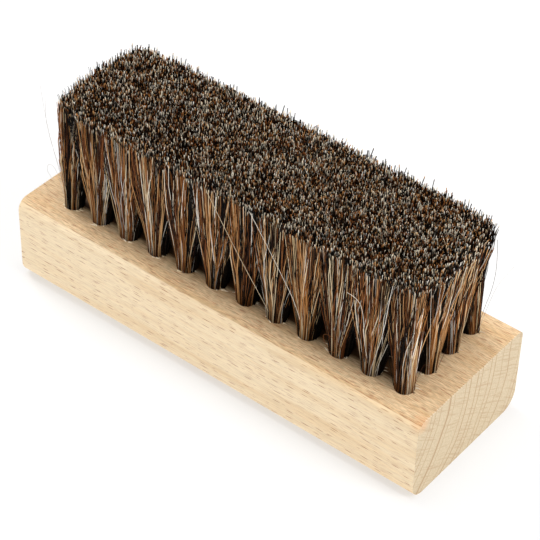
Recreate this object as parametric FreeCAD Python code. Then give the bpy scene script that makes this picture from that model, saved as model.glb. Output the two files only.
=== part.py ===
"""A horsehair shoe shine brush: a drilled beech block, 48 tufts and the anchors that hold them."""
import FreeCAD
import Part
import math
import os

V = FreeCAD.Vector

# Beech block, in millimetres. It lies on its back with the bristles up, and +X is its length.
block_length = 130.0
block_width = 44.5
block_height = 25.5
face_front_radius = 3.2
face_rear_radius = 2.0
back_front_radius = 4.5
back_rear_radius = 5.0

# Drilling pattern: rows along the length, with the margins from the block's sides to hole centres
columns = 12
rows = 4
left_margin = 12.2
right_margin = 10.4
front_margin = 8.6
rear_margin = 8.3
hole_diameter = 5.0
hole_depth = 14.0

# Tufts: round and tight in the hole, spreading above it, trimmed level
bristle_height = 33.7
end_spread = 4.4
side_spread = 3.1
crown_corner_radius = 3.0
fold_thickness = 1.6
tuft_clearance = 0.15
tuft_gap = 0.3
facets_per_corner = 3

# Flat wire anchors, lying across the holes in the folds of the tufts
anchor_thickness = 0.45
anchor_height = 2.2
anchor_bite = 0.5

# Sizes that follow from the ones above
pitch_x = (block_length - left_margin - right_margin) / (columns - 1)
pitch_y = (block_width - front_margin - rear_margin) / (rows - 1)
first_hole_x = left_margin - block_length / 2
first_hole_y = front_margin - block_width / 2
hole_floor = block_height - hole_depth
root_reach = hole_diameter / 2 - tuft_clearance
trim_level = block_height + bristle_height
anchor_length = hole_diameter + 2 * anchor_bite
anchor_floor = hole_floor + fold_thickness
facet_angle = math.pi / 2 / facets_per_corner


def hole_centre(row, column):
    return V(first_hole_x + column * pitch_x, first_hole_y + row * pitch_y, 0)


def long_edge(shape, y, z):
    """The edge along the block's length that passes nearest to y, z."""
    middle = V(0, y, z)
    return min(shape.Edges, key=lambda edge: (edge.CenterOfMass - middle).Length)


def anchor_bar(centre, height):
    """A flat bar across a hole, standing on edge in the fold of the tuft."""
    corner = V(centre.x - anchor_length / 2, centre.y - anchor_thickness / 2, anchor_floor)
    return Part.makeBox(anchor_length, anchor_thickness, height, corner)


def make_anchor(centre):
    return anchor_bar(centre, anchor_height)


def make_block(centres):
    """Square stock with its four long edges rounded over, then drilled.

    On its way down each anchor scores two grooves in its hole's wall, and it holds at their ends.
    """
    front, rear = -block_width / 2, block_width / 2
    block = Part.makeBox(block_length, block_width, block_height, V(-block_length / 2, front, 0))
    rounded_edges = [
        (front, block_height, face_front_radius),
        (rear, block_height, face_rear_radius),
        (front, 0, back_front_radius),
        (rear, 0, back_rear_radius),
    ]
    for y, z, radius in rounded_edges:
        block = block.makeFillet(radius, [long_edge(block, y, z)])
    tools = []
    for centre in centres:
        tools.append(Part.makeCylinder(hole_diameter / 2, hole_depth, centre + V(0, 0, hole_floor)))
        tools.append(anchor_bar(centre, block_height - anchor_floor))
    return block.cut(tools).Solids[0]


def tuft_section(centre, level, west, east, south, north, corner_radius):
    """A rounded rectangle in facets, which face the same ways in every section of a tuft."""
    corner_radius = min(corner_radius, (west + east) / 2, (south + north) / 2)
    vertex_reach = corner_radius / math.cos(facet_angle / 2)
    corner_centres = [
        (east - corner_radius, north - corner_radius),
        (corner_radius - west, north - corner_radius),
        (corner_radius - west, corner_radius - south),
        (east - corner_radius, corner_radius - south),
    ]
    points = []
    for quarter, (x, y) in enumerate(corner_centres):
        for step in range(facets_per_corner):
            angle = quarter * math.pi / 2 + (step + 0.5) * facet_angle
            across = vertex_reach * math.cos(angle)
            along = vertex_reach * math.sin(angle)
            points.append(centre + V(x + across, y + along, level))
    return points


def round_section(centre, level, reach):
    """A section whose vertices lie on a circle."""
    flat = reach * math.cos(facet_angle / 2)
    return tuft_section(centre, level, flat, flat, flat, flat, flat)


def flat_face(points):
    return Part.Face(Part.makePolygon(points + points[:1]))


def stack_sections(sections):
    """A closed solid through sections whose sides are parallel, so that every facet is flat."""
    faces = [flat_face(sections[0][::-1]), flat_face(sections[-1])]
    for lower, upper in zip(sections, sections[1:]):
        for near in range(len(lower)):
            far = (near + 1) % len(lower)
            faces.append(flat_face([lower[near], lower[far], upper[far], upper[near]]))
    return Part.makeSolid(Part.makeShell(faces))


def make_tuft(row, column):
    """A folded bundle, round in its hole, that spreads to a crown pressed flat by its neighbours."""
    centre = hole_centre(row, column)
    inner_x = (pitch_x - tuft_gap) / 2
    inner_y = (pitch_y - tuft_gap) / 2
    west = end_spread if column == 0 else inner_x
    east = end_spread if column == columns - 1 else inner_x
    south = side_spread if row == 0 else inner_y
    north = side_spread if row == rows - 1 else inner_y
    bundle = stack_sections([
        round_section(centre, hole_floor, root_reach),
        round_section(centre, block_height, root_reach),
        tuft_section(centre, trim_level, west, east, south, north, crown_corner_radius),
    ])
    return bundle.cut(make_anchor(centre)).Solids[0]


def main():
    os.makedirs("parts", exist_ok=True)
    holes = [(row, column) for row in range(rows) for column in range(columns)]
    make_block([hole_centre(*hole) for hole in holes]).exportStep("parts/block.step")
    for row, column in holes:
        make_tuft(row, column).exportStep(f"parts/tuft_r{row + 1}_c{column + 1:02d}.step")
    for row in range(rows):
        anchors = [make_anchor(hole_centre(row, column)) for column in range(columns)]
        Part.makeCompound(anchors).exportStep(f"parts/anchors_row_{row + 1}.step")


main()
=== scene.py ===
import math
import bmesh
import bpy
from mathutils import Matrix, Vector


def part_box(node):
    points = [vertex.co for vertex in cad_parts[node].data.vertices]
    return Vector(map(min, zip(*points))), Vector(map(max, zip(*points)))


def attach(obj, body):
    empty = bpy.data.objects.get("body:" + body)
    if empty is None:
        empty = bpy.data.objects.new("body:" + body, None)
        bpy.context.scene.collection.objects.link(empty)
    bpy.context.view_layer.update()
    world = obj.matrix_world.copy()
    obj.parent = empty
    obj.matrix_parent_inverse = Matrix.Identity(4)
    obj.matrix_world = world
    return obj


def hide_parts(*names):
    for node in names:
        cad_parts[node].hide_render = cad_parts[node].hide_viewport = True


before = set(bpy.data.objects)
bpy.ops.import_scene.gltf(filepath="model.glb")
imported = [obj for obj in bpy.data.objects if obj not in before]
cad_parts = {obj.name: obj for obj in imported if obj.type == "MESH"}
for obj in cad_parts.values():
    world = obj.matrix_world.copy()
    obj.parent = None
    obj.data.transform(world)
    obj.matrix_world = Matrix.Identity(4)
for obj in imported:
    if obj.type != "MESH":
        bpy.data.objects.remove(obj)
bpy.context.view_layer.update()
mm = 0.001
rowCount, columnCount = 4, 12


def linearColour(hexCode):
    channels = [int(hexCode[i:i + 2], 16) / 255 for i in (1, 3, 5)]
    return [c / 12.92 if c <= 0.04045 else ((c + 0.055) / 1.055) ** 2.4 for c in channels] + [1]


# Values fill the inputs in order, and None leaves one alone.
# A node given as a value stands for its first output.
def addNode(tree, kind, *values, named=None, stops=None, **settings):
    node = tree.nodes.new(kind)
    for name, value in settings.items():
        setattr(node, name, value)
    for key, value in {**dict(enumerate(values)), **(named or {})}.items():
        source = value.outputs[0] if isinstance(value, bpy.types.Node) else value
        if isinstance(source, bpy.types.NodeSocket):
            tree.links.new(source, node.inputs[key])
        elif source is not None:
            node.inputs[key].default_value = source
    for place, hexCode in stops or []:
        ramp = node.color_ramp.elements
        spare = ramp[0] if place == stops[0][0] else ramp.new(place)
        spare.position, spare.color = place, linearColour(hexCode)
        if len(ramp) > len(stops):
            ramp.remove(ramp[-1])
    return node


def newMaterial(name):
    material = bpy.data.materials.new(name)
    material.use_nodes = True
    material.node_tree.nodes.clear()
    return material


# Places that the frame gives: the drilled face, and the centre of each hole
blockLow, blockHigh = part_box("block")
faceLevel = blockHigh.z


def middle(node):
    low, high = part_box(node)
    return (low + high) / 2


rowPlaces = [middle(f"anchors_row_{row + 1}").y for row in range(rowCount)]
secondColumn, nextToLast = middle("tuft_r1_c02").x, middle("tuft_r1_c11").x
pitchX = (nextToLast - secondColumn) / (columnCount - 3)
columnPlaces = [secondColumn + (column - 1) * pitchX for column in range(columnCount)]
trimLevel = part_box("tuft_r1_c01")[1].z


# Planed European beech, left bare: pale and even, with short dark ray flecks along the grain on the sides,
# fine streaks of fibre, and growth rings crossed by rays on the sawn ends.
beech = {
    "pale": "#f6e1be", "warm": "#e7c697", "fleck": "#9c4f1c", "ringLine": "#9c744a", "endTone": "#c6b496",
    "drilledTintAndShade": "#e4d9cc",   # laid over the drilled face and its edge, a little darker and warmer: partly the sawn face's own colour, partly painted shade from the hair
    "pith": (0, -45, 32),       # mm, the tree's centre, in front of the block and above it
    "ringWidth": 3.0,           # mm
    "ringShare": (0.08, 0.66),  # how strong the rings are, on the sides and on the sawn ends
    "rayTilt": 33,              # degrees that the rays slope on the sawn ends
    "fleckCell": (4.6, 1.0),    # mm of wood for one fleck, along the grain and across the rays
    "fleckHalf": (1.15, 0.085), # mm, half its length and width
    "fleckShare": (0.7, 0.4),   # how strong they are, on the upright sides and on the level ones
    "fleckOnEnds": 0.22,        # of that
    "ray": (10, 0.5),           # mm, one ray on the sawn ends
    "rayShare": 0.27,
    "scratch": (3.2, 0.22),     # mm, one dark fibre
    "scratchShare": (0.45, 1.0),    # on the sides and on the drilled face
    "rough": (1.8, 0.22),       # mm, grain of the drilled face
    "roughTone": (0.8, 1.2),
    "scorch": (64.5, -20, 24.5),    # mm, where the saw burned the corner
    "scorchReach": 3.2,         # mm
    "scorchTone": "#e2a066",
    "tuftShade": "#7a6450",          # painted shade, laid over the wood among the tufts, where the hair shades it
    "tuftShadeHalf": (54, 13.5),     # mm, half the length and width of the shaded part
    "tuftShadeFade": 1.2,            # mm
    "fibre": (9, 0.3, 0.3),     # mm
    "streak": (45, 2.6, 2.6),   # mm
    "pore": 0.42,               # mm, drawn coarser than the real pores, which wouldn't show
    "relief": 0.1,              # mm
    "roughness": (0.68, 0.55),  # in the grain's hollows and on its ridges
}


def makeBeech():
    material = newMaterial("beech planed and sawn")
    tree = material.node_tree
    coords = addNode(tree, "ShaderNodeTexCoord")
    place = addNode(tree, "ShaderNodeVectorMath", coords.outputs["Object"], (1000, 1000, 1000),
                    operation="MULTIPLY")
    # slow wander of the grain, long along the block
    slow = addNode(tree, "ShaderNodeVectorMath", place, (0.012, 0.05, 0.05), operation="MULTIPLY")
    wander = addNode(tree, "ShaderNodeTexNoise", slow, named={"Scale": 1.0, "Detail": 1.0})
    wandered = addNode(tree, "ShaderNodeVectorMath", wander.outputs["Color"], (0, 5, 5), place,
                       operation="MULTIPLY_ADD")
    # growth rings round the pith
    fromPith = addNode(tree, "ShaderNodeVectorMath", wandered, beech["pith"], operation="SUBTRACT")
    radial = addNode(tree, "ShaderNodeVectorMath", fromPith, (0, 1, 1), operation="MULTIPLY")
    reach = addNode(tree, "ShaderNodeVectorMath", radial, operation="LENGTH")
    ringCount = addNode(tree, "ShaderNodeMath", reach.outputs["Value"], beech["ringWidth"],
                        operation="DIVIDE")
    years = addNode(tree, "ShaderNodeTexNoise", named={"W": ringCount, "Scale": 0.55, "Detail": 1.0},
                    noise_dimensions="1D")
    uneven = addNode(tree, "ShaderNodeMath", years.outputs["Fac"], 2.2, ringCount, operation="MULTIPLY_ADD")
    ringPhase = addNode(tree, "ShaderNodeMath", uneven, operation="FRACT")
    ring = addNode(tree, "ShaderNodeValToRGB", ringPhase, stops=[
        (0.0, "#303030"), (0.12, "#000000"), (0.6, "#101010"), (0.85, "#505050"), (0.93, "#ffffff"),
        (1.0, "#606060")])
    # rays, in a frame turned so that they run along its second axis
    turned = addNode(tree, "ShaderNodeMapping", wandered, named={
        "Rotation": (math.radians(beech["rayTilt"]), 0, 0)})
    turned = addNode(tree, "ShaderNodeSeparateXYZ", turned)
    cellX = addNode(tree, "ShaderNodeMath", turned.outputs["X"], beech["fleckCell"][0], operation="DIVIDE")
    cellY = addNode(tree, "ShaderNodeMath", turned.outputs["Z"], beech["fleckCell"][1], operation="DIVIDE")
    cells = addNode(tree, "ShaderNodeCombineXYZ", cellX, cellY)
    rays = addNode(tree, "ShaderNodeTexVoronoi", cells, named={"Scale": 1.0, "Randomness": 1.0},
                   voronoi_dimensions="2D")
    raySize = addNode(tree, "ShaderNodeSeparateXYZ", rays.outputs["Color"])
    raySize = addNode(tree, "ShaderNodeMapRange", raySize.outputs["X"], 0.0, 1.0, -0.2, 1.35)
    raySize = addNode(tree, "ShaderNodeMath", raySize, 0.05, operation="MAXIMUM")
    fromRay = addNode(tree, "ShaderNodeVectorMath", cells, rays.outputs["Position"], operation="SUBTRACT")
    fromRay = addNode(tree, "ShaderNodeVectorMath", fromRay, operation="MULTIPLY", named={
        1: [cell / half for cell, half in zip(beech["fleckCell"], beech["fleckHalf"])] + [0]})
    rayEdge = addNode(tree, "ShaderNodeVectorMath", fromRay, operation="LENGTH")
    rayEdge = addNode(tree, "ShaderNodeMath", rayEdge.outputs["Value"], raySize, operation="DIVIDE")
    fleck = addNode(tree, "ShaderNodeMapRange", rayEdge, 1.1, 0.6, 0.0, 1.0)
    # on the ends the same rays show as thin lines
    rayY = addNode(tree, "ShaderNodeMath", turned.outputs["Y"], beech["ray"][0], operation="DIVIDE")
    rayZ = addNode(tree, "ShaderNodeMath", turned.outputs["Z"], beech["ray"][1], operation="DIVIDE")
    rayLines = addNode(tree, "ShaderNodeCombineXYZ", rayY, rayZ)
    rayLines = addNode(tree, "ShaderNodeTexNoise", rayLines, named={"Scale": 1.0, "Detail": 1.0},
                       noise_dimensions="2D")
    rayLines = addNode(tree, "ShaderNodeMapRange", rayLines.outputs["Fac"], 0.56, 0.68,
                       0.0, beech["rayShare"])
    # fibres and broader streaks along the length, and pores on the ends
    fine = addNode(tree, "ShaderNodeVectorMath", place, tuple(1 / size for size in beech["fibre"]),
                   operation="MULTIPLY")
    fibre = addNode(tree, "ShaderNodeTexNoise", fine, named={"Scale": 1.0, "Detail": 3.0, "Roughness": 0.6})
    broad = addNode(tree, "ShaderNodeVectorMath", wandered, tuple(1 / size for size in beech["streak"]),
                    operation="MULTIPLY")
    streak = addNode(tree, "ShaderNodeTexNoise", broad, named={"Scale": 1.0, "Detail": 2.0})
    pore = addNode(tree, "ShaderNodeTexNoise", place, named={"Scale": 1 / beech["pore"], "Detail": 1.0})
    # the sawn ends are told by their normal
    facing = addNode(tree, "ShaderNodeSeparateXYZ", coords.outputs["Normal"])
    lengthwise = addNode(tree, "ShaderNodeMath", facing.outputs["X"], operation="ABSOLUTE")
    sawn = addNode(tree, "ShaderNodeMapRange", lengthwise, 0.6, 0.9, 0.0, 1.0)
    # colour: body, then rings, then rays
    warmth = addNode(tree, "ShaderNodeMapRange", streak.outputs["Fac"], 0.42, 0.72, 0.0, 0.6)
    body = addNode(tree, "ShaderNodeMix", warmth, data_type="RGBA", named={
        6: linearColour(beech["pale"]), 7: linearColour(beech["warm"])})
    body = addNode(tree, "ShaderNodeMix", sawn, data_type="RGBA", named={
        6: body.outputs[2], 7: linearColour(beech["endTone"])})
    grain = addNode(tree, "ShaderNodeMix", sawn, named={2: fibre.outputs["Fac"], 3: pore.outputs["Fac"]})
    shade = addNode(tree, "ShaderNodeMapRange", grain, 0.3, 0.7, 0.91, 1.06)
    body = addNode(tree, "ShaderNodeVectorMath", body.outputs[2], shade, operation="MULTIPLY")
    ringShare = addNode(tree, "ShaderNodeMapRange", sawn, 0.0, 1.0, *beech["ringShare"])
    ringShare = addNode(tree, "ShaderNodeMath", ring, ringShare, operation="MULTIPLY")
    rayShare = addNode(tree, "ShaderNodeMath", rayLines, sawn, operation="MULTIPLY")
    ringShare = addNode(tree, "ShaderNodeMath", ringShare, rayShare, operation="MAXIMUM")
    ringed = addNode(tree, "ShaderNodeMix", ringShare, data_type="RGBA", named={
        6: body, 7: linearColour(beech["ringLine"])})
    flat = addNode(tree, "ShaderNodeMath", facing.outputs["Z"], operation="ABSOLUTE")
    fleckShare = addNode(tree, "ShaderNodeMapRange", flat, 0.2, 0.9, *beech["fleckShare"])
    endShare = addNode(tree, "ShaderNodeMapRange", sawn, 0.0, 1.0, 1.0, beech["fleckOnEnds"])
    fleckShare = addNode(tree, "ShaderNodeMath", fleckShare, endShare, operation="MULTIPLY")
    fleckShare = addNode(tree, "ShaderNodeMath", fleck, fleckShare, operation="MULTIPLY")
    colour = addNode(tree, "ShaderNodeMix", fleckShare, data_type="RGBA", named={
        6: ringed.outputs[2], 7: linearColour(beech["fleck"])})
    # the drilled face, drawn darker and warmer partly as painted shade, with dark fibres, painted shade among
    # the tufts and a scorched corner
    drilled = addNode(tree, "ShaderNodeMapRange", facing.outputs["Z"], 0.72, 0.77, 0.0, 1.0)
    # upward faces darker and warmer: partly the sawn surface, partly painted shade
    colour = addNode(tree, "ShaderNodeMix", drilled, data_type="RGBA", blend_type="MULTIPLY", named={
        6: colour.outputs[2], 7: linearColour(beech["drilledTintAndShade"])})
    scratches = addNode(tree, "ShaderNodeVectorMath", place, operation="MULTIPLY", named={
        1: [1 / beech["scratch"][i] for i in (0, 1, 1)]})
    scratches = addNode(tree, "ShaderNodeTexNoise", scratches, named={"Scale": 1.0, "Detail": 2.0})
    scratches = addNode(tree, "ShaderNodeMapRange", scratches.outputs["Fac"], 0.52, 0.72, 0.0, 0.75)
    scratchShare = addNode(tree, "ShaderNodeMapRange", drilled, 0.0, 1.0, *beech["scratchShare"])
    scratchShare = addNode(tree, "ShaderNodeMix", sawn, named={2: scratchShare, 3: 0.0})
    scratches = addNode(tree, "ShaderNodeMath", scratches, scratchShare, operation="MULTIPLY")
    colour = addNode(tree, "ShaderNodeMix", scratches, data_type="RGBA", named={
        6: colour.outputs[2], 7: linearColour(beech["fleck"])})
    rough = addNode(tree, "ShaderNodeVectorMath", place, operation="MULTIPLY", named={
        1: [1 / beech["rough"][i] for i in (0, 1, 1)]})
    rough = addNode(tree, "ShaderNodeTexNoise", rough, named={"Scale": 1.0, "Detail": 1.0})
    rough = addNode(tree, "ShaderNodeMapRange", rough.outputs["Fac"], 0.3, 0.7, *beech["roughTone"])
    colour = addNode(tree, "ShaderNodeMix", drilled, data_type="RGBA", blend_type="MULTIPLY", named={
        6: colour.outputs[2], 7: rough})
    spread = addNode(tree, "ShaderNodeVectorMath", place, operation="ABSOLUTE")
    spread = addNode(tree, "ShaderNodeSeparateXYZ", spread)
    # painted shade among the tufts, where the hair keeps light off the wood
    tuftShade = drilled
    for axis, half in zip("XY", beech["tuftShadeHalf"]):
        inside = addNode(tree, "ShaderNodeMapRange", spread.outputs[axis], half, half - beech["tuftShadeFade"],
                         0.0, 1.0)
        tuftShade = addNode(tree, "ShaderNodeMath", tuftShade, inside, operation="MULTIPLY")
    colour = addNode(tree, "ShaderNodeMix", tuftShade, data_type="RGBA", blend_type="MULTIPLY", named={
        6: colour.outputs[2], 7: linearColour(beech["tuftShade"])})
    burned = addNode(tree, "ShaderNodeVectorMath", place, beech["scorch"], operation="DISTANCE")
    burned = addNode(tree, "ShaderNodeMapRange", burned.outputs["Value"], beech["scorchReach"], 0.0, 0.0, 0.9)
    burned = addNode(tree, "ShaderNodeMath", burned, fibre.outputs["Fac"], operation="MULTIPLY")
    colour = addNode(tree, "ShaderNodeMix", burned, data_type="RGBA", named={
        6: colour.outputs[2], 7: linearColour(beech["scorchTone"])})
    # relief of the fibres, with the flecks a little sunk
    relief = addNode(tree, "ShaderNodeMath", fleck, -0.3, grain, operation="MULTIPLY_ADD")
    bump = addNode(tree, "ShaderNodeBump", 0.25, beech["relief"] * mm, named={"Height": relief})
    gloss = addNode(tree, "ShaderNodeMapRange", grain, 0.3, 0.7, *beech["roughness"])
    shader = addNode(tree, "ShaderNodeBsdfPrincipled", named={
        "Base Color": colour.outputs[2], "Roughness": gloss, "Normal": bump, "Specular IOR Level": 0.25})
    addNode(tree, "ShaderNodeOutputMaterial", shader)
    return material


# Mixed horsehair, washed and cut: smooth hairs from near black to blond and grey, each one colour along its
# length but for painted shade at the root and below packed tips, and a pale cut end on some that is partly
# painted highlight, with a soft gloss. The map holds a hair's tone and the way along it.
horsehair = {
    "tones": [(0.0, "#080402"), (0.24, "#120904"), (0.25, "#2e180c"), (0.37, "#502d19"), (0.38, "#7a4522"),
              (0.55, "#a86a38"), (0.56, "#bf8246"), (0.70, "#dcaa74"), (0.71, "#e4c494"), (0.80, "#f4e0bc"),
              (0.81, "#f8eedb"), (0.96, "#fffcf4"), (0.97, "#a0968a"), (1.0, "#867c74")],
    "map": "OFBake",
    "cutEndPaleAndLit": "#fff3da",
    "cutFrom": (0.82, 0.86),    # hairs whose draw passes this have a pale cut end, partly painted highlight, about a sixth
    "rootShade": 0.4,            # painted shade: of its colour, at the root of an outer hair
    "packedShade": 0.02,         # the same painted shade, below the tip of one packed within the brush
    "roughness": 0.4,
    "gloss": 0.08,
}


def makeHorsehair():
    material = newMaterial("horsehair mixed and cut")
    tree = material.node_tree
    place = addNode(tree, "ShaderNodeUVMap", uv_map=horsehair["map"])
    split = addNode(tree, "ShaderNodeSeparateXYZ", place)
    doubled = addNode(tree, "ShaderNodeMath", split.outputs["X"], 2.0, operation="MULTIPLY")
    drawn = addNode(tree, "ShaderNodeMath", doubled, operation="FRACT")
    tone = addNode(tree, "ShaderNodeValToRGB", drawn, stops=horsehair["tones"])
    # painted shade darkens the root, and the cut end is pale on some hairs, partly painted highlight where
    # tips catch the light
    shaded = addNode(tree, "ShaderNodeMapRange", split.outputs["Y"], 0.0, 0.45, horsehair["rootShade"], 1.0)
    kind = addNode(tree, "ShaderNodeMath", drawn, 37.0, operation="MULTIPLY")
    kind = addNode(tree, "ShaderNodeMath", kind, operation="FRACT")
    kind = addNode(tree, "ShaderNodeMapRange", kind, *horsehair["cutFrom"], 0.0, 1.0)
    # pale cut ends: partly the cut hair's pale core, partly painted highlight where the tips catch the light
    paleLitTips = addNode(tree, "ShaderNodeMapRange", split.outputs["Y"], 0.965, 0.99, 0.0, 1.0)
    paleLitTips = addNode(tree, "ShaderNodeMath", paleLitTips, kind, operation="MULTIPLY")
    # hairs packed within the brush, in the map's second half, get painted shade below their tips
    packed = addNode(tree, "ShaderNodeMath", doubled, 1.0, operation="GREATER_THAN")
    belowTipShade = addNode(tree, "ShaderNodeMapRange", split.outputs["Y"], 0.976, 0.99, horsehair["packedShade"], 1.0)
    shaded = addNode(tree, "ShaderNodeMix", packed, named={2: shaded, 3: belowTipShade})
    colour = addNode(tree, "ShaderNodeVectorMath", tone, shaded, operation="MULTIPLY")
    colour = addNode(tree, "ShaderNodeMix", paleLitTips, data_type="RGBA", named={
        6: colour, 7: linearColour(horsehair["cutEndPaleAndLit"])})
    shader = addNode(tree, "ShaderNodeBsdfPrincipled", named={
        "Base Color": colour.outputs[2], "Roughness": horsehair["roughness"],
        "Specular IOR Level": horsehair["gloss"]})
    addNode(tree, "ShaderNodeOutputMaterial", shader)
    return material


# Beech fibres torn by the drill and the saw: paler and rougher than the planed wood
tornBeech = {"dark": "#e6cb9c", "light": "#fff0d6", "fibre": (2.5, 0.4, 0.4)}   # the last in mm


def makeTornBeech():
    material = newMaterial("beech fibres torn")
    tree = material.node_tree
    coords = addNode(tree, "ShaderNodeTexCoord")
    lines = addNode(tree, "ShaderNodeVectorMath", coords.outputs["Object"], operation="MULTIPLY", named={
        1: [1 / (size * mm) for size in tornBeech["fibre"]]})
    fibre = addNode(tree, "ShaderNodeTexNoise", lines, named={"Scale": 1.0, "Detail": 1.0})
    tone = addNode(tree, "ShaderNodeValToRGB", fibre.outputs["Fac"], stops=[
        (0.3, tornBeech["dark"]), (0.6, tornBeech["light"])])
    shader = addNode(tree, "ShaderNodeBsdfPrincipled", named={
        "Base Color": tone, "Roughness": 0.8, "Specular IOR Level": 0.2})
    addNode(tree, "ShaderNodeOutputMaterial", shader)
    return material


# Drawn flat steel wire: grey, with fine lines along its length
steel = {"tone": "#b9b8b4", "drawLine": (5, 0.05, 0.05), "roughness": (0.3, 0.45)}  # the lines in mm


def makeSteel():
    material = newMaterial("steel wire drawn flat")
    tree = material.node_tree
    coords = addNode(tree, "ShaderNodeTexCoord")
    lines = addNode(tree, "ShaderNodeVectorMath", coords.outputs["Object"], operation="MULTIPLY", named={
        1: [1 / (size * mm) for size in steel["drawLine"]]})
    drawn = addNode(tree, "ShaderNodeTexNoise", lines, named={"Scale": 1.0, "Detail": 2.0})
    gloss = addNode(tree, "ShaderNodeMapRange", drawn.outputs["Fac"], 0.3, 0.7, *steel["roughness"])
    shader = addNode(tree, "ShaderNodeBsdfPrincipled", named={
        "Base Color": linearColour(steel["tone"]), "Metallic": 1.0, "Roughness": gloss})
    addNode(tree, "ShaderNodeOutputMaterial", shader)
    return material


beechWood = makeBeech()
tornWood = makeTornBeech()
hairStuff = makeHorsehair()
wireSteel = makeSteel()
print("materials made")


# The block keeps its solid's shape, with its loose triangles joined so that the rounded edges shade smoothly
planed = {"weld": 0.001 * mm, "sharpFrom": 30}  # the second in degrees


def makeBlock():
    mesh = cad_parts["block"].data.copy()
    block = bpy.data.objects.new("beechBlock", mesh)
    bpy.context.scene.collection.objects.link(block)
    weld = block.modifiers.new("weld", "WELD")
    weld.merge_threshold = planed["weld"]
    graph = bpy.context.evaluated_depsgraph_get()
    joined = bpy.data.meshes.new_from_object(block.evaluated_get(graph), depsgraph=graph)
    block.modifiers.clear()
    block.data = joined
    joined.materials.clear()
    joined.materials.append(beechWood)
    joined.attributes.remove(joined.attributes["custom_normal"])    # bent by the weld
    joined.shade_smooth()
    joined.set_sharp_from_angle(angle=math.radians(planed["sharpFrom"]))
    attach(block, "root")
    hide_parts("block")


makeBlock()
for row in range(rowCount):
    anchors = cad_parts[f"anchors_row_{row + 1}"]
    anchors.data.materials.clear()
    anchors.data.materials.append(wireSteel)
print("block and anchors dressed")


# One tuft is a bundle of hairs that leave the hole side by side and spread to the trimmed crown.
# A hair is drawn a little thicker than so many could be in the hole, so that it shows at this size.
tuft = {
    "inputs": {
        "Hairs": 1650,
        "Rings": 7,                 # along an outer hair
        "Rings Within": 4,          # along a hair that only shows its tip
        "Root Radius": 2.38 * mm,
        "Root Depth": 2.5 * mm,
        "Hair Radius": 0.1 * mm,
        "Lock Pull": 0.4,           # how far the hairs of a small lock draw together at their tips
        "Lock Lean": 1.6 * mm,      # how far large locks lean apart
        "Lean Scatter": 1.0 * mm,   # how far single hairs lean out of their lock
        "Stray Reach": 11.0 * mm,   # how far the few wildest lean
        "Tip Scatter": 0.55 * mm,   # unevenness of the trimmed tips
        "Edge Drop": 2.6 * mm,      # how much lower the hairs end along the brush's sides
        "Long Tip": 2.6 * mm,       # how far the longest tips stand proud
        "Wave": 2.2 * mm,
        "Inner Dark": 1.75,         # painted shade: over 1, more of the hairs within are drawn dark
        "Inner Thick": 1.1,         # and they are drawn thicker, as only their tips show
    },
    "locks": (0.5, 0.25, 0.125),    # of a half tuft: locks that lean, that draw together, and of one tone
    "lockToneShare": 0.5,           # of hairs that take the tone of their lock
    "lockToneMost": 0.8,            # pale hairs stand alone, so no lock's tone is paler than this
    "hairSides": 3,
    "thickness": (0.55, 1.45),      # of the hair radius, from the finest hair to the coarsest
    "tipThickness": 0.92,
    "longRarity": 14.0,             # the power of a random draw, so high ones are rare
    "strayRarity": 4.0,
    "waveRarity": 4.0,
    "waveTurn": 6.0,                # radians from root to tip
    "spreadPower": 0.95,            # over 1, the hairs start out straight
    "outerFrom": 0.55,              # where a tuft's outer hairs begin, on the way to the brush's side
    "dropFrom": 0.1,                # the same for hairs that end lower
    "innerSpread": 1.12,            # how far tufts spread among each other, of their CAD nodes
    "cornerDraw": 0.55,             # how far the brush's corner tufts spread outwards, of their CAD nodes
    "rearRightDraw": 0.3,           # the same for the rear right one
    "edgeAllowance": 0.3 * mm,      # how far hairs may pass the trimmed sides
    "innerAllowance": 4.5 * mm,     # how far they may pass into a neighbour
    "firstSeed": 100,
    "seedStep": 10,
}


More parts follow.
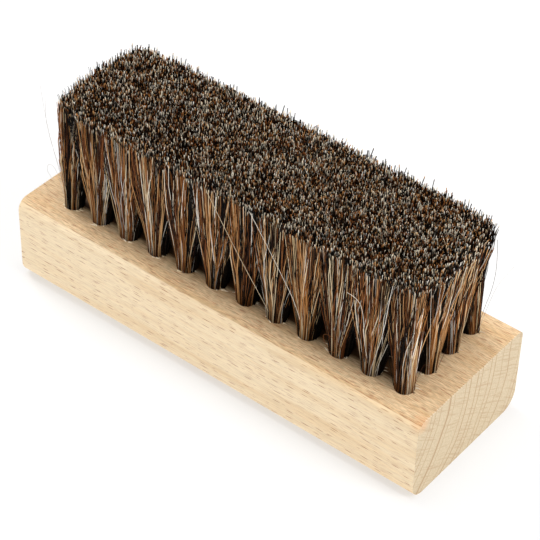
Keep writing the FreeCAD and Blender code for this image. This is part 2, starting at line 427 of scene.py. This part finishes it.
def buildTuftTree():
    tree = bpy.data.node_groups.new("horsehairTuft", "GeometryNodeTree")
    tree.interface.new_socket("Geometry", in_out="OUTPUT", socket_type="NodeSocketGeometry")
    kinds = {
        "NodeSocketInt": ["Hairs", "Rings", "Rings Within", "Seed"],
        "NodeSocketVector": ["Hole", "Spread Plus", "Spread Minus", "Limit Plus", "Limit Minus", "Open Plus",
                             "Open Minus"],
        "NodeSocketFloat": ["Rounding", "Height"] + [
            name for name in tuft["inputs"] if name not in ("Hairs", "Rings", "Rings Within")],
    }
    for kind, names in kinds.items():
        for name in names:
            tree.interface.new_socket(name, in_out="INPUT", socket_type=kind)
    given = addNode(tree, "NodeGroupInput").outputs
    largeLock, smallLock, toneLock = tuft["locks"]
    # three random vectors for each hair, carried along to its points
    points = addNode(tree, "GeometryNodePoints", given["Hairs"])
    carried = addNode(tree, "GeometryNodeCaptureAttribute", points)
    for offset, name in enumerate(("place", "shift", "manner")):
        carried.capture_items.new("VECTOR", name)
        seed = addNode(tree, "FunctionNodeIntegerMath", given["Seed"], offset, operation="ADD")
        draw = addNode(tree, "FunctionNodeRandomValue", (0, 0, 0), (1, 1, 1), named={"Seed": seed},
                       data_type="FLOAT_VECTOR")
        tree.links.new(draw.outputs[0], carried.inputs[name])
    line = addNode(tree, "GeometryNodeCurvePrimitiveLine", (0, 0, 0), (0, 0, 1))
    strands = addNode(tree, "GeometryNodeInstanceOnPoints", carried, None, line)
    strands = addNode(tree, "GeometryNodeRealizeInstances", strands)
    along = addNode(tree, "GeometryNodeSplineParameter")
    shift = addNode(tree, "ShaderNodeSeparateXYZ", carried.outputs["shift"])
    manner = addNode(tree, "ShaderNodeSeparateXYZ", carried.outputs["manner"])
    # place across the tuft, from -1 to 1 each way, and how near that is to an open side of the brush
    side = addNode(tree, "ShaderNodeVectorMath", carried.outputs["place"], (2, 2, 0), (-1, -1, 0),
                   operation="MULTIPLY_ADD")
    plusSide = addNode(tree, "ShaderNodeVectorMath", side, given["Open Plus"], operation="MULTIPLY")
    minusSide = addNode(tree, "ShaderNodeVectorMath", side, given["Open Minus"], operation="MULTIPLY")
    nearness = addNode(tree, "ShaderNodeVectorMath", plusSide, minusSide, operation="MAXIMUM")
    nearness = addNode(tree, "ShaderNodeSeparateXYZ", nearness)
    nearness = addNode(tree, "ShaderNodeMath", nearness.outputs["X"], nearness.outputs["Y"],
                       operation="MAXIMUM")
    outer = addNode(tree, "ShaderNodeMath", nearness, tuft["outerFrom"], operation="GREATER_THAN")
    rings = addNode(tree, "ShaderNodeMix", outer, named={2: given["Rings Within"], 3: given["Rings"]})
    curves = addNode(tree, "GeometryNodeResampleCurve", strands, None, rings)
    # height: straight up through the hole, lower along the sides, with uneven tips and a few long ones
    uneven = addNode(tree, "ShaderNodeMath", shift.outputs["Z"], 2.0, -1.0, operation="MULTIPLY_ADD")
    uneven = addNode(tree, "ShaderNodeMath", uneven, given["Tip Scatter"], operation="MULTIPLY")
    longer = addNode(tree, "ShaderNodeMath", manner.outputs["X"], tuft["longRarity"], operation="POWER")
    tips = addNode(tree, "ShaderNodeMath", longer, given["Long Tip"], uneven, operation="MULTIPLY_ADD")
    drop = addNode(tree, "ShaderNodeMapRange", nearness, tuft["dropFrom"], 1.0, 0.0, given["Edge Drop"])
    tips = addNode(tree, "ShaderNodeMath", tips, drop, operation="SUBTRACT")
    total = addNode(tree, "ShaderNodeMath", given["Height"], given["Root Depth"], operation="ADD")
    total = addNode(tree, "ShaderNodeMath", total, tips, operation="ADD")
    rise = addNode(tree, "ShaderNodeMath", along.outputs["Factor"], total, operation="MULTIPLY")
    rise = addNode(tree, "ShaderNodeMath", rise, given["Root Depth"], operation="SUBTRACT")
    share = addNode(tree, "ShaderNodeMath", rise, given["Height"], operation="DIVIDE")
    share = addNode(tree, "ShaderNodeMath", share, 0.0, operation="MAXIMUM")
    spread = addNode(tree, "ShaderNodeMath", share, tuft["spreadPower"], operation="POWER")
    # the tuft's round shape in the hole
    sides = addNode(tree, "ShaderNodeSeparateXYZ", side)
    rounded = []
    for across in ("Y", "X"):
        square = addNode(tree, "ShaderNodeMath", sides.outputs[across], sides.outputs[across],
                         operation="MULTIPLY")
        left = addNode(tree, "ShaderNodeMath", square, -0.5, 1.0, operation="MULTIPLY_ADD")
        rounded.append(addNode(tree, "ShaderNodeMath", left, operation="SQRT"))
    rounding = addNode(tree, "ShaderNodeCombineXYZ", *rounded)
    disc = addNode(tree, "ShaderNodeVectorMath", side, rounding, operation="MULTIPLY")
    root = addNode(tree, "ShaderNodeVectorMath", disc, operation="SCALE", named={
        "Scale": given["Root Radius"]})
    crown = addNode(tree, "ShaderNodeMix", given["Rounding"], named={4: side, 5: disc}, data_type="VECTOR")
    # locks: hairs that stand together lean together
    lock = addNode(tree, "ShaderNodeVectorMath", side, (largeLock, largeLock, 1), operation="SNAP")
    small = addNode(tree, "ShaderNodeVectorMath", side, (smallLock, smallLock, 1), operation="SNAP")
    smallDraw = addNode(tree, "ShaderNodeTexWhiteNoise", small, given["Seed"], noise_dimensions="4D")
    small = addNode(tree, "ShaderNodeVectorMath", smallDraw.outputs["Color"], (smallLock, smallLock, 0),
                    small, operation="MULTIPLY_ADD")
    lockDraw = addNode(tree, "ShaderNodeTexWhiteNoise", lock, given["Seed"], noise_dimensions="4D")
    lockLean = addNode(tree, "ShaderNodeVectorMath", lockDraw.outputs["Color"], (-0.5, -0.5, -0.5),
                       operation="ADD")
    lockLean = addNode(tree, "ShaderNodeVectorMath", lockLean, (1, 1, 0), operation="MULTIPLY")
    lockLean = addNode(tree, "ShaderNodeVectorMath", lockLean, operation="SCALE", named={
        "Scale": given["Lock Lean"]})
    gathered = addNode(tree, "ShaderNodeMix", given["Lock Pull"], named={4: crown.outputs[1], 5: small},
                       data_type="VECTOR")
    plus = addNode(tree, "ShaderNodeVectorMath", gathered.outputs[1], (0, 0, 0), operation="MAXIMUM")
    minus = addNode(tree, "ShaderNodeVectorMath", gathered.outputs[1], (0, 0, 0), operation="MINIMUM")
    plus = addNode(tree, "ShaderNodeVectorMath", plus, given["Spread Plus"], lockLean,
                   operation="MULTIPLY_ADD")
    tip = addNode(tree, "ShaderNodeVectorMath", minus, given["Spread Minus"], plus, operation="MULTIPLY_ADD")
    # single hairs lean out of their lock, a few of them far
    wild = addNode(tree, "ShaderNodeMath", manner.outputs["Z"], tuft["strayRarity"], operation="POWER")
    leaning = addNode(tree, "ShaderNodeMath", wild, given["Stray Reach"], given["Lean Scatter"],
                      operation="MULTIPLY_ADD")
    lean = addNode(tree, "ShaderNodeVectorMath", carried.outputs["shift"], (2, 2, 0), (-1, -1, 0),
                   operation="MULTIPLY_ADD")
    lean = addNode(tree, "ShaderNodeVectorMath", lean, named={"Scale": leaning}, operation="SCALE")
    tip = addNode(tree, "ShaderNodeVectorMath", tip, lean, operation="ADD")
    # tips that pass a limit are folded back inside it
    over = addNode(tree, "ShaderNodeVectorMath", given["Limit Plus"], tip, operation="SUBTRACT")
    over = addNode(tree, "ShaderNodeVectorMath", over, operation="ABSOLUTE")
    tip = addNode(tree, "ShaderNodeVectorMath", given["Limit Plus"], over, operation="SUBTRACT")
    over = addNode(tree, "ShaderNodeVectorMath", given["Limit Minus"], tip, operation="ADD")
    over = addNode(tree, "ShaderNodeVectorMath", over, operation="ABSOLUTE")
    tip = addNode(tree, "ShaderNodeVectorMath", over, given["Limit Minus"], operation="SUBTRACT")
    # a slow wave, strong on few hairs
    turns = addNode(tree, "ShaderNodeVectorMath", carried.outputs["manner"], (6.28, 9.1, 0),
                    operation="MULTIPLY")
    turning = addNode(tree, "ShaderNodeMath", share, tuft["waveTurn"], operation="MULTIPLY")
    turns = addNode(tree, "ShaderNodeVectorMath", turns, turning, operation="ADD")
    wave = addNode(tree, "ShaderNodeVectorMath", turns, operation="SINE")
    bent = addNode(tree, "ShaderNodeMath", manner.outputs["Y"], tuft["waveRarity"], operation="POWER")
    bent = addNode(tree, "ShaderNodeMath", bent, given["Wave"], operation="MULTIPLY")
    bent = addNode(tree, "ShaderNodeMath", bent, share, operation="MULTIPLY")
    wave = addNode(tree, "ShaderNodeVectorMath", wave, (1, 1, 0), operation="MULTIPLY")
    wave = addNode(tree, "ShaderNodeVectorMath", wave, named={"Scale": bent}, operation="SCALE")
    # the hair's line
    swept = addNode(tree, "ShaderNodeMix", spread, named={4: root, 5: tip}, data_type="VECTOR",
                    clamp_factor=False)
    swept = addNode(tree, "ShaderNodeVectorMath", swept.outputs[1], wave, operation="ADD")
    lifted = addNode(tree, "ShaderNodeCombineXYZ", 0.0, 0.0, rise)
    swept = addNode(tree, "ShaderNodeVectorMath", swept, lifted, operation="ADD")
    swept = addNode(tree, "ShaderNodeVectorMath", swept, given["Hole"], operation="ADD")
    curves = addNode(tree, "GeometryNodeSetPosition", curves, None, swept)
    marked = addNode(tree, "GeometryNodeCaptureAttribute", curves)
    marked.capture_items.new("FLOAT", "along")
    tree.links.new(along.outputs["Factor"], marked.inputs["along"])
    # thickness: hairs differ, and thin a little towards the tip
    thick = addNode(tree, "ShaderNodeMapRange", shift.outputs["Y"], 0.0, 1.0, *tuft["thickness"])
    thinned = addNode(tree, "ShaderNodeMapRange", along.outputs["Factor"], 0.6, 1.0,
                      1.0, tuft["tipThickness"])
    thick = addNode(tree, "ShaderNodeMath", thick, thinned, operation="MULTIPLY")
    thick = addNode(tree, "ShaderNodeMath", thick, given["Hair Radius"], operation="MULTIPLY")
    within = addNode(tree, "ShaderNodeMix", outer, named={2: given["Inner Thick"], 3: 1.0})
    thick = addNode(tree, "ShaderNodeMath", thick, within, operation="MULTIPLY")
    section = addNode(tree, "GeometryNodeCurvePrimitiveCircle", tuft["hairSides"], named={"Radius": 1.0})
    hairs = addNode(tree, "GeometryNodeCurveToMesh", marked, section, thick, True)
    # tone: some hairs share their lock's
    ownTone = addNode(tree, "ShaderNodeSeparateXYZ", carried.outputs["place"])
    fineLock = addNode(tree, "ShaderNodeVectorMath", side, (toneLock, toneLock, 1), operation="SNAP")
    fineDraw = addNode(tree, "ShaderNodeTexWhiteNoise", fineLock, given["Seed"], noise_dimensions="4D")
    lockTone = addNode(tree, "ShaderNodeSeparateXYZ", fineDraw.outputs["Color"])
    lockTone = addNode(tree, "ShaderNodeMath", lockTone.outputs["Z"], tuft["lockToneMost"],
                       operation="MULTIPLY")
    shared = addNode(tree, "ShaderNodeMath", manner.outputs["Z"], tuft["lockToneShare"],
                     operation="LESS_THAN")
    tone = addNode(tree, "ShaderNodeMix", shared, named={2: ownTone.outputs["Z"], 3: lockTone})
    # hairs within take darker tones, painted shade within the brush
    innerShaded = addNode(tree, "ShaderNodeMath", tone, given["Inner Dark"], operation="POWER")
    tone = addNode(tree, "ShaderNodeMix", outer, named={2: innerShaded, 3: tone})
    # the map's first half is for outer hairs and its second for those within
    toneMap = addNode(tree, "ShaderNodeMath", outer, -0.5, 0.5, operation="MULTIPLY_ADD")
    toneMap = addNode(tree, "ShaderNodeMath", tone, 0.499, toneMap, operation="MULTIPLY_ADD")
    toneMap = addNode(tree, "ShaderNodeCombineXYZ", toneMap, marked.outputs["along"])
    hairs = addNode(tree, "GeometryNodeStoreNamedAttribute", hairs, None, horsehair["map"], toneMap,
                    data_type="FLOAT2", domain="CORNER")
    hairs = addNode(tree, "GeometryNodeRealizeInstances", hairs)
    hairs = addNode(tree, "GeometryNodeSetMaterial", hairs, None, hairStuff)
    addNode(tree, "NodeGroupOutput", hairs)
    return tree


def setInputs(modifier, values):
    for item in modifier.node_group.interface.items_tree:
        if item.in_out == "INPUT" and item.name in values:
            modifier[item.identifier] = values[item.name]


def makeTufts():
    tree = buildTuftTree()
    made = []
    for row in range(rowCount):
        for column in range(columnCount):
            node = f"tuft_r{row + 1}_c{column + 1:02d}"
            low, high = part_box(node)
            hole = Vector((columnPlaces[column], rowPlaces[row], faceLevel))
            west, east, south, north = column == 0, column == columnCount - 1, row == 0, row == rowCount - 1
            spreadPlus = Vector((high.x - hole.x, high.y - hole.y, 0))
            spreadMinus = Vector((hole.x - low.x, hole.y - low.y, 0))
            corner = (west or east) and (south or north)
            for axis, spread, outward in ((0, spreadPlus, east), (1, spreadPlus, north),
                                          (0, spreadMinus, west), (1, spreadMinus, south)):
                drawn = tuft["rearRightDraw" if east and north else "cornerDraw"]
                spread[axis] *= (drawn if corner else 1) if outward else tuft["innerSpread"]
            passPlus, passMinus = [
                Vector([tuft["edgeAllowance" if edge else "innerAllowance"] for edge in edges] + [0])
                for edges in ((east, north), (west, south))]
            piece = bpy.data.objects.new(f"hair_r{row + 1}_c{column + 1:02d}", bpy.data.meshes.new("hair"))
            bpy.context.scene.collection.objects.link(piece)
            modifier = piece.modifiers.new("hairs", "NODES")
            modifier.node_group = tree
            setInputs(modifier, {
                **tuft["inputs"],
                "Seed": tuft["firstSeed"] + tuft["seedStep"] * (row * columnCount + column),
                "Hole": hole,
                "Spread Plus": spreadPlus,
                "Spread Minus": spreadMinus,
                "Limit Plus": spreadPlus + passPlus,
                "Limit Minus": spreadMinus + passMinus,
                "Open Plus": Vector((east, north, 0)),
                "Open Minus": Vector((-west, -south, 0)),
                "Rounding": 1.0 if corner else 0.0,
                "Height": trimLevel - faceLevel,
            })
            made.append((piece, node))
    graph = bpy.context.evaluated_depsgraph_get()
    triangles = 0
    for piece, node in made:
        mesh = bpy.data.meshes.new_from_object(piece.evaluated_get(graph), preserve_all_data_layers=True,
                                               depsgraph=graph)
        piece.modifiers.clear()
        piece.data = mesh
        triangles += sum(len(face.vertices) - 2 for face in mesh.polygons)
        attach(piece, "root")
        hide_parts(node)
    print("tufts made,", triangles, "triangles")


makeTufts()


# Loose hairs that have worked out of their tufts: a tone, a thickness and points in millimetres from the root
strays = {
    "longLow": (0.8, 0.05,
        [(15.5, -14.5, 24), (14, -17.2, 32), (7.5, -17.6, 41), (0.8, -17.6, 50.5), (-4.6, -17, 57)]),
    "longHigh": (0.86, 0.055,
        [(25.3, -14.5, 24), (24.2, -17, 36), (19.6, -17.6, 44), (14, -17.6, 52), (9, -17.3, 58)]),
    "curlFront": (0.4, 0.05, [(34.5, -15, 24), (32.4, -16.6, 29), (32.6, -17.6, 33), (35.6, -17.9, 33.8),
                              (38.4, -17.8, 32), (37, -17.5, 28.6), (33.7, -17, 27.4)]),
    "curlHigh": (0.86, 0.055,
        [(44.8, -15, 24), (44, -16.8, 38), (43.8, -17.6, 47), (41.8, -17.9, 50), (39, -17.6, 49.6)]),
    "curlEnd": (0.35, 0.05,
        [(56.5, -14, 24), (59, -15, 33), (60, -14.6, 37.4), (60.2, -12.5, 35.2), (59.6, -11, 31)]),
    "curlEndLow": (0.35, 0.05,
        [(56.8, -4, 24), (59, -4.4, 33), (60, -3.3, 36.4), (60.2, -1.2, 33.8), (59.6, 0, 30.4)]),
    "rightHigh": (0.3, 0.06,
        [(56.5, 13, 24), (59.2, 11.5, 36), (60.4, 12.7, 43.3), (60.2, 13.6, 50.6), (59.5, 13.5, 57)]),
    "rightOut": (0.98, 0.045,
        [(56.5, 14, 24), (59.5, 13.7, 38), (60.3, 15, 42.3), (60.4, 17.5, 43), (60.2, 22, 43.4)]),
    "leftTall": (0.98, 0.05,
        [(-54.8, -13.8, 24), (-57.3, -14, 34.8), (-59.4, -14, 42), (-61.6, -14, 52), (-62.5, -14, 60.4)]),
    "leftShort": (0.98, 0.045,
        [(-54.8, -13, 24), (-58, -13.5, 36), (-60.8, -14, 46), (-61.2, -14, 52.4), (-60.8, -14, 59.3)]),
    "leftLoop": (0.98, 0.045, [(-54.9, -14, 24), (-57.5, -14, 32.4), (-59.3, -14, 35.4), (-61.6, -14, 34.8),
                             (-61.9, -14, 31.6), (-59.5, -14, 30.5)]),
}


def makeStrays():
    gathered = bmesh.new()
    for name, (tone, radius, points) in strays.items():
        curve = bpy.data.curves.new(name, "CURVE")
        curve.dimensions, curve.bevel_depth, curve.bevel_resolution = "3D", radius * mm, 0
        curve.resolution_u, curve.use_fill_caps = 6, True
        spline = curve.splines.new("NURBS")
        spline.points.add(len(points) - 1)
        for point, place in zip(spline.points, points):
            point.co = (*(value * mm for value in place), 1)
        spline.order_u, spline.use_endpoint_u = 3, True
        line = bpy.data.objects.new(name, curve)
        bpy.context.scene.collection.objects.link(line)
        graph = bpy.context.evaluated_depsgraph_get()
        mesh = bpy.data.meshes.new_from_object(line.evaluated_get(graph), depsgraph=graph)
        bpy.data.objects.remove(line)
        toneMap = mesh.uv_layers.new(name=horsehair["map"])
        for corner in toneMap.data:
            corner.uv = (0.5 * tone, 0.7)
        gathered.from_mesh(mesh)
    mesh = bpy.data.meshes.new("hairStrays")
    gathered.to_mesh(mesh)
    gathered.free()
    mesh.materials.append(hairStuff)
    piece = bpy.data.objects.new("hairStrays", mesh)
    bpy.context.scene.collection.objects.link(piece)
    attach(piece, "root")
    print("strays laid,", len(mesh.polygons), "faces")


makeStrays()


# Torn fibres round the holes and along the sawn edges of the drilled face
splinters = {
    "inputs": {
        "Each": 7,              # at each place
        "Rim": 2.75 * mm,       # from a hole's centre
        "Length": 2.5 * mm,
        "Thickness": 0.4 * mm,
        "Seed": 7,
    },
    "edgeSpacing": 0.9 * mm,
    "sideGap": 3 * mm,          # left free at each end of a sawn edge
    "edgeLength": 0.2,          # of the length, along the sawn edges
    "tilt": 1.35,               # radians from upright
}


def makeSplinters():
    tree = bpy.data.node_groups.new("tornFibres", "GeometryNodeTree")
    tree.interface.new_socket("Geometry", in_out="OUTPUT", socket_type="NodeSocketGeometry")
    tree.interface.new_socket("Geometry", in_out="INPUT", socket_type="NodeSocketGeometry")
    for name in splinters["inputs"]:
        kind = "NodeSocketInt" if name in ("Each", "Seed") else "NodeSocketFloat"
        tree.interface.new_socket(name, in_out="INPUT", socket_type=kind)
    given = addNode(tree, "NodeGroupInput").outputs
    copies = addNode(tree, "GeometryNodeDuplicateElements", given["Geometry"], None, given["Each"],
                     domain="POINT")
    index = addNode(tree, "GeometryNodeInputIndex")
    drawn = addNode(tree, "FunctionNodeRandomValue", (0, 0, 0), (6.283, 1, 1), data_type="FLOAT_VECTOR",
                    named={"ID": index, "Seed": given["Seed"]})
    draws = addNode(tree, "ShaderNodeSeparateXYZ", drawn)
    # an attribute tells the holes, which spread their fibres round the rim, from the edges
    atHole = addNode(tree, "GeometryNodeInputNamedAttribute", "hole", data_type="FLOAT")
    cosine = addNode(tree, "ShaderNodeMath", draws.outputs["X"], operation="COSINE")
    sine = addNode(tree, "ShaderNodeMath", draws.outputs["X"], operation="SINE")
    outward = addNode(tree, "ShaderNodeCombineXYZ", cosine, sine, 0.0)
    away = addNode(tree, "ShaderNodeMath", atHole, given["Rim"], operation="MULTIPLY")
    moved = addNode(tree, "ShaderNodeVectorMath", outward, named={"Scale": away}, operation="SCALE")
    placed = addNode(tree, "GeometryNodeSetPosition", copies, None, None, moved)
    # they lie along the grain, some one way and some the other
    way = addNode(tree, "ShaderNodeMath", draws.outputs["Z"], 0.5, operation="GREATER_THAN")
    way = addNode(tree, "ShaderNodeMath", way, 2 * splinters["tilt"], -splinters["tilt"],
                  operation="MULTIPLY_ADD")
    across = addNode(tree, "ShaderNodeMapRange", draws.outputs["Y"], 0.0, 1.0, -0.35, 0.35)
    lean = addNode(tree, "ShaderNodeCombineXYZ", across, way, across)
    size = addNode(tree, "ShaderNodeMapRange", draws.outputs["Y"], 0.0, 1.0, 0.35, 1.0)
    shorter = addNode(tree, "ShaderNodeMapRange", atHole, 0.0, 1.0, splinters["edgeLength"], 1.0)
    size = addNode(tree, "ShaderNodeMath", size, shorter, operation="MULTIPLY")
    fibre = addNode(tree, "GeometryNodeMeshCone", 4, 1, 1, 0.0, given["Thickness"], given["Length"])
    fibres = addNode(tree, "GeometryNodeInstanceOnPoints", placed, None, fibre, named={
        "Rotation": lean, "Scale": size})
    fibres = addNode(tree, "GeometryNodeRealizeInstances", fibres)
    fibres = addNode(tree, "GeometryNodeSetMaterial", fibres, None, tornWood)
    addNode(tree, "NodeGroupOutput", fibres)

    holes = [(x, y, faceLevel) for y in rowPlaces for x in columnPlaces]
    spacing, sideGap = splinters["edgeSpacing"], splinters["sideGap"]
    steps = int((blockHigh.y - blockLow.y - 2 * sideGap) / spacing)
    edges = [(x, blockLow.y + sideGap + step * spacing, faceLevel) for x in (blockLow.x, blockHigh.x)
             for step in range(steps + 1)]
    mesh = bpy.data.meshes.new("tornFibres")
    mesh.from_pydata(holes + edges, [], [])
    mark = mesh.attributes.new("hole", "FLOAT", "POINT")
    mark.data.foreach_set("value", [1.0] * len(holes) + [0.0] * len(edges))
    piece = bpy.data.objects.new("tornFibres", mesh)
    bpy.context.scene.collection.objects.link(piece)
    modifier = piece.modifiers.new("fibres", "NODES")
    modifier.node_group = tree
    setInputs(modifier, splinters["inputs"])
    graph = bpy.context.evaluated_depsgraph_get()
    torn = bpy.data.meshes.new_from_object(piece.evaluated_get(graph), depsgraph=graph)
    piece.modifiers.clear()
    piece.data = torn
    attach(piece, "root")
    print("torn fibres made,", len(torn.polygons), "faces")


makeSplinters()


# A white sweep that stays white to the eye and still takes the brush's shadow
stage = {"floorSide": 6.0, "paper": "#d0d0d0", "glow": 0.53, "seenGlow": 0.5, "seenShade": 0.4}


def makeFloor():
    half = stage["floorSide"] / 2
    mesh = bpy.data.meshes.new("floor")
    corners = [(-half, -half, 0), (half, -half, 0), (half, half, 0), (-half, half, 0)]
    mesh.from_pydata(corners, [], [(0, 1, 2, 3)])
    floor = bpy.data.objects.new("floor", mesh)
    bpy.context.scene.collection.objects.link(floor)
    material = newMaterial("white paper sweep")
    tree = material.node_tree
    path = addNode(tree, "ShaderNodeLightPath")
    seen = addNode(tree, "ShaderNodeMath", path.outputs["Is Camera Ray"], path.outputs["Is Glossy Ray"],
                   operation="MAXIMUM")
    seen = addNode(tree, "ShaderNodeMath", seen, path.outputs["Is Transmission Ray"], operation="MAXIMUM")
    paper = addNode(tree, "ShaderNodeBsdfDiffuse", linearColour(stage["paper"]))
    glow = addNode(tree, "ShaderNodeEmission", (1, 1, 1, 1), stage["glow"])
    plain = addNode(tree, "ShaderNodeAddShader", paper, glow)
    seenPaper = addNode(tree, "ShaderNodeBsdfDiffuse", [stage["seenShade"]] * 3 + [1])
    seenGlow = addNode(tree, "ShaderNodeEmission", (1, 1, 1, 1), stage["seenGlow"])
    shown = addNode(tree, "ShaderNodeAddShader", seenPaper, seenGlow)
    surface = addNode(tree, "ShaderNodeMixShader", seen, plain, shown)
    addNode(tree, "ShaderNodeOutputMaterial", surface)
    mesh.materials.append(material)


lighting = {
    "dome": 0.51,
    "lamps": [  # name, place, side in metres, power
        ("top", (0, 0.0, 1.5), 0.8, 10.8),
        ("left", (-1.15, 0.19, 0.95), 0.55, 10.2),
        ("right", (1.15, 0.15, 0.9), 0.55, 11.0),
    ],
}


def makeLamp(name, place, side, power):
    light = bpy.data.lights.new(name, "AREA")
    light.shape, light.size, light.energy = "SQUARE", side, power
    lamp = bpy.data.objects.new(name, light)
    bpy.context.scene.collection.objects.link(lamp)
    lamp.location = place
    lamp.rotation_euler = Vector(place).to_track_quat("Z", "Y").to_euler()


def makeLight():
    world = bpy.data.worlds.new("softbox room")
    bpy.context.scene.world = world
    world.use_nodes = True
    tree = world.node_tree
    tree.nodes.clear()
    path = addNode(tree, "ShaderNodeLightPath")
    seen = addNode(tree, "ShaderNodeMath", path.outputs["Is Camera Ray"], path.outputs["Is Transmission Ray"],
                   operation="MAXIMUM")
    room = addNode(tree, "ShaderNodeBackground", (1, 1, 1, 1), lighting["dome"])
    white = addNode(tree, "ShaderNodeBackground", (1, 1, 1, 1), 1.0)
    sky = addNode(tree, "ShaderNodeMixShader", seen, room, white)
    addNode(tree, "ShaderNodeOutputWorld", sky)
    for lamp in lighting["lamps"]:
        makeLamp(*lamp)


# The photograph's view, fitted to the block's edges
eye = {"azimuth": 37.62, "elevation": 40.864, "roll": 1.741, "right": 2.443 * mm, "up": 17.496 * mm,
       "distance": 539.6 * mm, "lens": 136.43, "sensor": 36.0}


def makeCamera():
    azimuth, elevation, roll = (math.radians(eye[name]) for name in ("azimuth", "elevation", "roll"))
    back = Vector((math.sin(azimuth) * math.cos(elevation), -math.cos(azimuth) * math.cos(elevation),
                   math.sin(elevation)))
    level = Vector((0, 0, 1)).cross(back).normalized()
    upright = back.cross(level)
    right = math.cos(roll) * level + math.sin(roll) * upright
    up = math.cos(roll) * upright - math.sin(roll) * level
    lens = bpy.data.cameras.new("view")
    lens.lens, lens.sensor_width, lens.clip_start = eye["lens"], eye["sensor"], 0.01
    camera = bpy.data.objects.new("view", lens)
    bpy.context.scene.collection.objects.link(camera)
    place = eye["right"] * right + eye["up"] * up + eye["distance"] * back
    camera.matrix_world = Matrix.Translation(place) @ Matrix((right, up, back)).transposed().to_4x4()
    bpy.context.scene.camera = camera


makeFloor()
makeLight()
makeCamera()
bpy.context.scene.view_settings.view_transform = "Standard"
print("stage, light and camera set")
